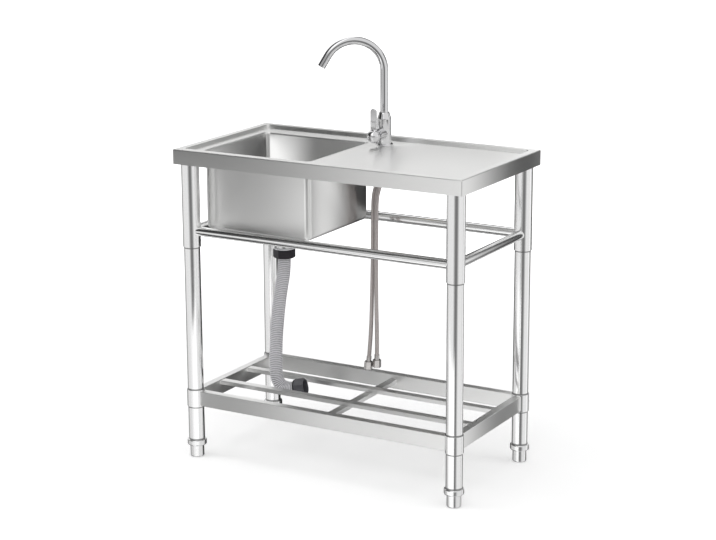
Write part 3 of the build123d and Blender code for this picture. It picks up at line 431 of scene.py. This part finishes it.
# Sheets: tone, roughness, how much the hairs vary the tone, then the bulge of the walls: its
# middle, the half size and the lean there. Other metals: colour or tone, roughness, and how much
# marks vary the roughness.
FINISH = {
    "top_steel": brushed_steel("brushed_top", 0.96, 0.34, 0.14, (0, 0), (0.38, 0.25), 0.06),
    "bowl_steel": brushed_steel("brushed_bowl", 0.96, 0.32, 0.08, (-0.186, -0.003),
                                (0.14, 0.135), 0.07),
    "shelf_steel": brushed_steel("brushed_shelf", 0.92, 0.33, 0.14, (0, 0), (0.33, 0.18), 0.06),
    "tube_steel": tube_steel("bright_tube", 0.97, 0.15),
    "foot_steel": turned_foot("turned_steel", 0.88, 0.14),
    "fastener_steel": plated("zinc_plate", (0.60, 0.60, 0.60), 0.35, 0.12),
    "waste_steel": plated("polished_waste", (0.80, 0.80, 0.80), 0.15),
    "rubber_black": moulded("black_rubber", (0.014, 0.014, 0.016), 0.60),
    "plastic_black": moulded("black_plastic", (0.020, 0.017, 0.023), 0.34),
    "plastic_grey": moulded("grey_plastic", (0.085, 0.085, 0.095), 0.36),
    "plastic_light": moulded("pale_plastic", (0.66, 0.66, 0.68), 0.40),
    "hose_grey": hose_plastic(),
    "chrome": plated("chrome_plate", (0.80, 0.80, 0.81), 0.05, 0.03),
    "brass_fitting": plated("turned_brass", (0.62, 0.50, 0.28), 0.28, 0.10),
    "braid": wire_braid(),
    "fitting_steel": plated("nickel_plate", (0.62, 0.60, 0.59), 0.22, 0.08),
}

SLOT_OF = {row["node"]: row["material_slot"] for row in frame["record"]["subparts"]}


def give_finish(thing, slot):
    """The finish of a record slot on a new piece."""
    thing.data.materials.clear()
    thing.data.materials.append(FINISH[slot])


for node_name, thing in nodes.items():
    for index in range(len(thing.material_slots)):
        thing.material_slots[index].material = FINISH[SLOT_OF[node_name]]


# ---------------------------------------------------------------- surfaces
SHARP_ANGLE = math.radians(40)
ROUTE_ORDER = 3
ROUTE_FINENESS = 40
RING_START = np.array([0.0, 1.0, 0.0])


def skin(name, grid, attributes):
    """A closed mesh from a grid of points: row i, column j. Both rows and columns close round.

    The faces are turned outwards by the sign of the enclosed volume."""
    rows, columns = grid.shape[:2]
    i, j = np.meshgrid(np.arange(rows), np.arange(columns), indexing="ij")
    i_next, j_next = (i + 1) % rows, (j + 1) % columns
    corners = (i * columns + j, i * columns + j_next,
               i_next * columns + j_next, i_next * columns + j)
    quads = np.stack(corners, -1).reshape(-1, 4)
    points = grid.reshape(-1, 3)
    a, b, c, d = (points[quads[:, k]] for k in range(4))
    volume = np.einsum("ij,ij->i", a, np.cross(b, c) + np.cross(c, d)).sum()
    if volume < 0:
        quads = quads[:, ::-1]
    mesh = bpy.data.meshes.new(name)
    mesh.vertices.add(len(points))
    mesh.vertices.foreach_set("co", points.ravel())
    mesh.loops.add(quads.size)
    mesh.loops.foreach_set("vertex_index", quads.ravel().astype(np.int32))
    mesh.polygons.add(len(quads))
    mesh.polygons.foreach_set("loop_start", np.arange(0, quads.size, 4, dtype=np.int32))
    mesh.update(calc_edges=True)
    mesh.validate()
    mesh.shade_smooth()
    mesh.set_sharp_from_angle(angle=SHARP_ANGLE)
    for key, values in attributes.items():
        layer = mesh.attributes.new(key, "FLOAT", "POINT")
        layer.data.foreach_set("value", values.ravel().astype(np.float32))
    thing = bpy.data.objects.new(name, mesh)
    bpy.context.scene.collection.objects.link(thing)
    return thing


def route_line(route, count):
    """Evenly spaced points along the smooth line that a route's points control.

    Besides the points, their headings and their distances from the start are given."""
    curve = bpy.data.curves.new("route", "CURVE")
    curve.dimensions = "3D"
    spline = curve.splines.new("NURBS")
    spline.points.add(len(route) - 1)
    for point, place in zip(spline.points, route):
        point.co = (*(c * MM for c in place), 1)
    spline.order_u = ROUTE_ORDER
    spline.use_endpoint_u = True
    spline.resolution_u = ROUTE_FINENESS
    holder = bpy.data.objects.new("route", curve)
    bpy.context.scene.collection.objects.link(holder)
    bpy.context.view_layer.update()
    mesh = bpy.data.meshes.new_from_object(holder)
    read = np.zeros(len(mesh.vertices) * 3)
    mesh.vertices.foreach_get("co", read)
    read = read.reshape(-1, 3)
    bpy.data.objects.remove(holder)
    bpy.data.curves.remove(curve)
    bpy.data.meshes.remove(mesh)
    steps = np.linalg.norm(np.diff(read, axis=0), axis=1)
    travel = np.concatenate([[0], np.cumsum(steps)])
    even = np.linspace(0, travel[-1], count)
    line = np.stack([np.interp(even, travel, read[:, k]) for k in range(3)], 1)
    heading = np.gradient(line, axis=0)
    heading /= np.linalg.norm(heading, axis=1)[:, None]
    return line, heading, even


def tube_on_line(line, heading, radii, turns):
    """Circles square to the line: row i, column j stands radii[i, j] from it at turns[j]."""
    side = np.cross(RING_START, heading)
    side /= np.linalg.norm(side, axis=1)[:, None]
    up = np.cross(heading, side)
    cos, sin = np.cos(turns)[None, :, None], np.sin(turns)[None, :, None]
    return line[:, None] + radii[..., None] * (cos * side[:, None] + sin * up[:, None])


# ---------------------------------------------------------------- drain hose
# Control points of the hose's centre line, from the spigot to the nut at its far end, in mm.
DRAIN_ROUTE = [
    (-184, -24, 486),
    (-184, -24, 446),
    (-193, -26, 400),
    (-199.5, -28, 350),
    (-204.5, -30, 298),
    (-207, -31, 252),
    (-207.5, -32, 208),
    (-205, -33, 171),
    (-182, -27, 150),
    (-150, -19, 157),
]
HOSE_RIDGE = 16 * MM
HOSE_VALLEY = 14.2 * MM
HOSE_BORE = 13 * MM
HOSE_CUFF = 18 * MM
HOSE_CUFF_LENGTH = 2.6 * MM
HOSE_RIBS = 84
HOSE_RIB_SQUARENESS = 2.4
HOSE_ROWS_A_RIB = 10
HOSE_COLUMNS = 64


def ribbed_hose():
    """Radius along the hose: a rounded square wave from valley to ridge, a cuff at each end.

    The wave is tanh(squareness x cos(phase)) scaled to run from -1 to 1, one period a rib."""
    count = HOSE_RIBS * HOSE_ROWS_A_RIB + 1
    line, heading, travel = route_line(DRAIN_ROUTE, count)
    length = travel[-1]
    phase = FULL_TURN * HOSE_RIBS * travel / length
    wave = -np.tanh(HOSE_RIB_SQUARENESS * np.cos(phase)) / math.tanh(HOSE_RIB_SQUARENESS)
    relief = 0.5 + 0.5 * wave
    radius = HOSE_VALLEY + (HOSE_RIDGE - HOSE_VALLEY) * relief
    from_end = np.minimum(travel, length - travel)
    radius = np.where(from_end < HOSE_CUFF_LENGTH, HOSE_CUFF, radius)
    turns = np.linspace(0, FULL_TURN, HOSE_COLUMNS, endpoint=False)
    wide = np.repeat(radius[:, None], HOSE_COLUMNS, 1)
    outer = tube_on_line(line, heading, wide, turns)
    step = slice(None, None, HOSE_ROWS_A_RIB)
    bore = np.full((len(line[step]), HOSE_COLUMNS), HOSE_BORE)
    inner = tube_on_line(line[step], heading[step], bore, turns)
    shade = np.concatenate([np.repeat(relief[:, None], HOSE_COLUMNS, 1), np.zeros_like(bore)])
    hose = skin("drain_hose_ribbed", np.concatenate([outer, inner[::-1]]), {"relief": shade})
    give_finish(hose, "hose_grey")
    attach(hose, "root")
    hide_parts("drain_hose")


# ---------------------------------------------------------------- supply hoses
# Control points of the hoses' centre lines, from the mixer down to the union nuts, in mm.
HOT_ROUTE = [
    (-1.85, 126, 697),
    (-1.85, 126, 668),
    (-20.5, 116.3, 630),
    (-20, 113, 556),
    (-19.5, 110, 446),
    (-20.5, 107, 346),
    (-22, 105.5, 280),
    (-26.5, 104, 222),
]
COLD_ROUTE = [
    (9.85, 126, 697),
    (9.85, 126, 668),
    (-7.6, 110.5, 630),
    (-7.3, 107, 556),
    (-7, 105, 446),
    (-6.6, 104.5, 346),
    (-6, 107, 280),
    (-7.1, 108, 228),
]
BRAID_RADIUS = 4.62 * MM
BRAID_RELIEF = 0.33 * MM
BRAID_BORE = 3.0 * MM
BRAID_STRANDS = 12
BRAID_LEAD = 40 * MM
BRAID_DIP = 0.28
BRAID_COLUMNS = 72
BRAID_ROWS = 800
BRAID_BORE_STEP = 16


def braided_hose(name, route, node):
    """Two families of strands wound opposite ways. Phases p and q count strands each way round.

    A strand of p lies on top where the whole parts of p and q add up to an even number, and its
    height across itself is the square root of sin(pi p), a little lower towards both ends of the
    crossing; the other family lies on top elsewhere."""
    line, heading, travel = route_line(route, BRAID_ROWS)
    turns = np.linspace(0, FULL_TURN, BRAID_COLUMNS, endpoint=False)
    round_share, along_share = np.meshgrid(turns / FULL_TURN, travel / BRAID_LEAD)
    p = BRAID_STRANDS * (round_share + along_share)
    q = BRAID_STRANDS * (round_share - along_share)
    top_p = (np.floor(p) + np.floor(q)) % 2 == 0
    across = np.where(top_p, p % 1, q % 1)
    run = np.where(top_p, q % 1, p % 1)
    crown = (1 - BRAID_DIP) + BRAID_DIP * np.sin(np.pi * run)
    relief = np.sqrt(np.sin(np.pi * across)) * crown
    outer = tube_on_line(line, heading, BRAID_RADIUS + BRAID_RELIEF * relief, turns)
    step = slice(None, None, BRAID_BORE_STEP)
    bore = np.full((len(line[step]), BRAID_COLUMNS), BRAID_BORE)
    inner = tube_on_line(line[step], heading[step], bore, turns)
    flat = np.zeros_like(bore)
    hose = skin(name, np.concatenate([outer, inner[::-1]]), {
        "relief": np.concatenate([relief, flat]), "wires": np.concatenate([across, flat])})
    give_finish(hose, "braid")
    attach(hose, "root")
    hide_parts(node)


ribbed_hose()
braided_hose("supply_braid_hot", HOT_ROUTE, "supply_hose_hot")
braided_hose("supply_braid_cold", COLD_ROUTE, "supply_hose_cold")


# ---------------------------------------------------------------- studio
FLOOR_RADIUS = 14
FLOOR_DROP = 0.0004
FLOOR_SIDES = 96
FLOOR_PAINT = (0.86, 0.86, 0.86, 1)
# The floor's glow rises from under the unit outwards: two distances, and the level at each.
FLOOR_GLOW = (0.6, 3.0, 0.30, 1.0)


def lay_floor():
    """A round white floor: its own white takes the shadow, and a little glow keeps it white."""
    mesh = bpy.data.meshes.new("floor")
    turns = np.linspace(0, FULL_TURN, FLOOR_SIDES, endpoint=False)
    edge = np.stack([FLOOR_RADIUS * np.cos(turns), FLOOR_RADIUS * np.sin(turns),
                     np.full(FLOOR_SIDES, -FLOOR_DROP)], 1)
    mesh.from_pydata([tuple(p) for p in edge], [], [tuple(range(FLOOR_SIDES))])
    floor = bpy.data.objects.new("floor", mesh)
    bpy.context.scene.collection.objects.link(floor)
    floor.visible_glossy = False
    material, shader = new_material("floor_white")
    path = shader.add("ShaderNodeLightPath").outputs
    paint = shader.add("ShaderNodeBsdfDiffuse", {"Color": FLOOR_PAINT})
    away = shader.add("ShaderNodeVectorMath", {"Vector": shader.place()}, operation="LENGTH")
    rise = shader.smooth(away.outputs["Value"], *FLOOR_GLOW)
    level = shader.math("MULTIPLY", path["Is Camera Ray"], rise)
    glow = shader.add("ShaderNodeEmission", {"Strength": level})
    both = shader.add("ShaderNodeAddShader")
    shader.tree.links.new(paint.outputs[0], both.inputs[0])
    shader.tree.links.new(glow.outputs[0], both.inputs[1])
    shader.end_in(both)
    mesh.materials.append(material)


# The white studio is darkened, for what metal reflects, in soft-edged patches of its sky: azimuth
# from the front towards the right, elevation, half width, half height, their soft edges, and how
# dark. A negative darkness is a brighter patch.
SHADES = (
    (30, -22, 23, 34, 15, 10, 0.78),
    (-32, 14, 34, 7, 10, 6, 0.72),
    (150, 14, 34, 7, 10, 6, 0.72),
    (158, -18, 28, 22, 16, 12, 0.74),
    (-150, -24, 42, 22, 16, 12, 0.72),
    (-98, -14, 14, 30, 10, 12, 0.45),
    (-66, 50, 33, 42, 5, 8, 0.92),
    (-66, -60, 33, 36, 5, 8, 0.92),
    (175, 62, 25, 36, 6, 12, 0.80),
    (175, -66, 25, 30, 6, 12, 0.80),
    (-8, -58, 20, 34, 10, 5, -0.80),
    (-8, 57, 20, 34, 10, 5, -0.80),
    (-150, 55, 45, 30, 15, 15, -0.60),
)
PLAIN_LEVEL = 0.75


def hang_world():
    """White all round for camera, gloss and glass, less the shaded patches; plain fill besides."""
    world = bpy.data.worlds.new("studio")
    bpy.context.scene.world = world
    world.use_nodes = True
    shader = Shader(world.node_tree)
    parts = shader.parts(shader.add("ShaderNodeTexCoord").outputs["Generated"])
    azimuth = shader.math("ARCTAN2", parts["X"], shader.math("MULTIPLY", parts["Y"], -1))
    elevation = shader.math("ARCSINE", parts["Z"])
    bright = 1.0
    for *angles, dark in SHADES:
        turn, rise, wide, high, side_soft, rise_soft = (math.radians(a) for a in angles)
        off = shader.math("SUBTRACT", azimuth, turn)
        aside = shader.math("ABSOLUTE", shader.math("WRAP", off, math.pi, -math.pi))
        above = shader.math("ABSOLUTE", shader.math("SUBTRACT", elevation, rise))
        cover = shader.math("MULTIPLY",
                            shader.smooth(aside, wide - side_soft, wide + side_soft, 1, 0),
                            shader.smooth(above, high - rise_soft, high + rise_soft, 1, 0))
        bright = shader.math("MULTIPLY", bright, shader.math("MULTIPLY_ADD", cover, -dark, 1))
    path = shader.add("ShaderNodeLightPath").outputs
    seen = shader.math("MAXIMUM", path["Is Glossy Ray"], path["Is Transmission Ray"])
    more = shader.math("SUBTRACT", bright, PLAIN_LEVEL)
    level = shader.math("MULTIPLY_ADD", seen, more, PLAIN_LEVEL)
    level = shader.math("MAXIMUM", level, path["Is Camera Ray"])
    shader.end_in(shader.add("ShaderNodeBackground", {"Strength": level}), "ShaderNodeOutputWorld")


# Upright cards that only reflections see. Each stands square to one axis at one place, and runs
# from low to high along the other level axis and in height: soft edges at both ends, soft edge in
# height, and the brightness at its two ends. They shade the left of the front sheets and the back
# of the right ones, and give the bowl's inner walls something to mirror.
CARDS = (
    ("card_front", "Y", -0.65, (-1.10, -0.10), (0.64, 1.60), (0.10, 0.70), 0.05, (0.03, 0.03)),
    ("card_shelf", "Y", -0.65, (-0.66, 0.60), (-0.35, 0.22), (0.46, 0.10), 0.05, (1.10, 1.15)),
    ("card_back_bowl", "Y", 0.45, (-0.60, 0.24), (-0.30, 0.95), (0.10, 0.14), 0.06, (0.03, 0.03)),
    ("card_back_white", "Y", 0.45, (0.20, 0.46), (-0.10, 0.95), (0.06, 0.10), 0.06, (1.00, 1.00)),
    ("card_back_right", "Y", 0.45, (0.38, 0.72), (0.30, 1.20), (0.08, 0.24), 0.06, (0.05, 0.05)),
    ("card_back_bright", "Y", 0.45, (0.56, 1.10), (-0.40, 1.30), (0.22, 0.10), 0.08, (1.00, 1.00)),
    ("card_bowl_left", "X", -0.325, (-0.134, 0.129), (0.565, 0.735), (0.01, 0.004), 0.01,
     (0.08, 1.10)),
    ("card_bowl_front", "Y", -0.136, (-0.323, -0.05), (0.565, 0.735), (0.004, 0.01), 0.01,
     (0.20, 0.10)),
    ("card_bowl_back", "Y", 0.130, (-0.325, -0.10), (0.565, 0.735), (0.004, 0.01), 0.01,
     (0.10, 0.60)),
)


def stand_card(name, axis, place, run, rise, run_soft, rise_soft, levels):
    """An upright card with faded edges that shows only as a reflection, on its bright side."""
    (run0, run1), (z0, z1) = run, rise
    turned = (run1, run0) if axis == "Y" and place < 0 else (run0, run1)
    outline = [(turned[0], z0), (turned[1], z0), (turned[1], z1), (turned[0], z1)]
    along = "X" if axis == "Y" else "Y"
    points = [(t, place, z) if axis == "Y" else (place, t, z) for t, z in outline]
    mesh = bpy.data.meshes.new(name)
    mesh.from_pydata(points, [], [(0, 1, 2, 3)])
    card = bpy.data.objects.new(name, mesh)
    bpy.context.scene.collection.objects.link(card)
    card.visible_camera = False
    card.visible_diffuse = False
    card.visible_transmission = False
    card.visible_volume_scatter = False
    card.visible_shadow = False
    material, shader = new_material(name)
    parts = shader.parts(shader.place())
    behind = shader.add("ShaderNodeNewGeometry").outputs["Backfacing"]
    solid = shader.math("SUBTRACT", 1, behind)
    for part, low, high, (soft_in, soft_out) in (
            (parts[along], run0, run1, run_soft), (parts["Z"], z0, z1, (rise_soft, rise_soft))):
        solid = shader.math("MULTIPLY", solid, shader.smooth(part, low, low + soft_in))
        solid = shader.math("MULTIPLY", solid, shader.smooth(part, high - soft_out, high, 1, 0))
    level = shader.smooth(parts[along], run0, run1, *levels)
    glow = shader.add("ShaderNodeEmission", {"Strength": level})
    clear = shader.add("ShaderNodeBsdfTransparent")
    mixed = shader.add("ShaderNodeMixShader", {"Fac": solid})
    shader.tree.links.new(clear.outputs[0], mixed.inputs[1])
    shader.tree.links.new(glow.outputs[0], mixed.inputs[2])
    shader.end_in(mixed)
    mesh.materials.append(material)


# Soft lamps: name, place, side of the square, and radiance. All aim at the middle of the unit.
LAMPS = (
    ("lamp_top", (-0.4, -0.6, 3.6), 2.6, 1.5),
    ("lamp_left", (-3.4, -1.8, 2.2), 2.2, 1.5),
    ("lamp_right", (3.2, 0.6, 2.4), 2.2, 1.3),
    ("lamp_front", (1.4, -3.6, 3.0), 2.2, 1.3),
)
LAMP_TARGET = (0, 0, 0.5)


def hang_lamp(name, place, size, radiance):
    """A square soft lamp aimed at the unit; its power is radiance x area x pi."""
    data = bpy.data.lights.new(name, "AREA")
    data.shape = "SQUARE"
    data.size = size
    data.energy = radiance * size * size * math.pi
    lamp = bpy.data.objects.new(name, data)
    bpy.context.scene.collection.objects.link(lamp)
    turn = (Vector(LAMP_TARGET) - Vector(place)).to_track_quat("-Z", "Y").to_matrix().to_4x4()
    lamp.matrix_world = Matrix.Translation(place) @ turn
    lamp.visible_camera = False
    lamp.visible_glossy = False


lay_floor()
hang_world()
for row in CARDS:
    stand_card(*row)
for row in LAMPS:
    hang_lamp(*row)
